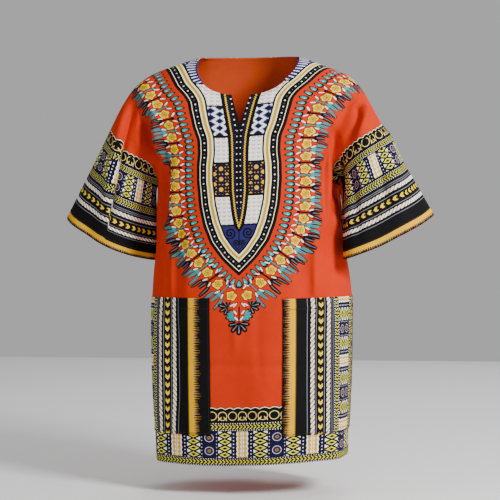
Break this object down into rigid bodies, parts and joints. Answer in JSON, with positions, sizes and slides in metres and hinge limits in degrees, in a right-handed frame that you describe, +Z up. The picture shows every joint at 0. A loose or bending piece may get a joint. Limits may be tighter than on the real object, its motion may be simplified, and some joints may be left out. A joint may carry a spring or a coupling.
{
  "type": "dashiki shirt",
  "caption": "Loose pullover shirt hanging as worn, with wide short sleeves cut in one with the body, a round neck with a notch, and patch pockets at the sides.",
  "frame": {"origin": "midway between the two high points of the shoulders, where neck opening and shoulder lines meet", "axes": "+Z up the worn shirt, -Y out of its front, +X to the right of someone who looks at its front"},
  "size_m": [0.6895, 0.2559, 0.7515],
  "materials": {
    "printed_cotton": "matt printed cotton, orange ground",
    "border_cotton": "matt printed cotton, black ground"
  },
  "bodies": {
    "root": {"front": "printed_cotton", "back": "printed_cotton", "pocket_left": "border_cotton", "pocket_right": "border_cotton"}
  },
  "joints": []
}
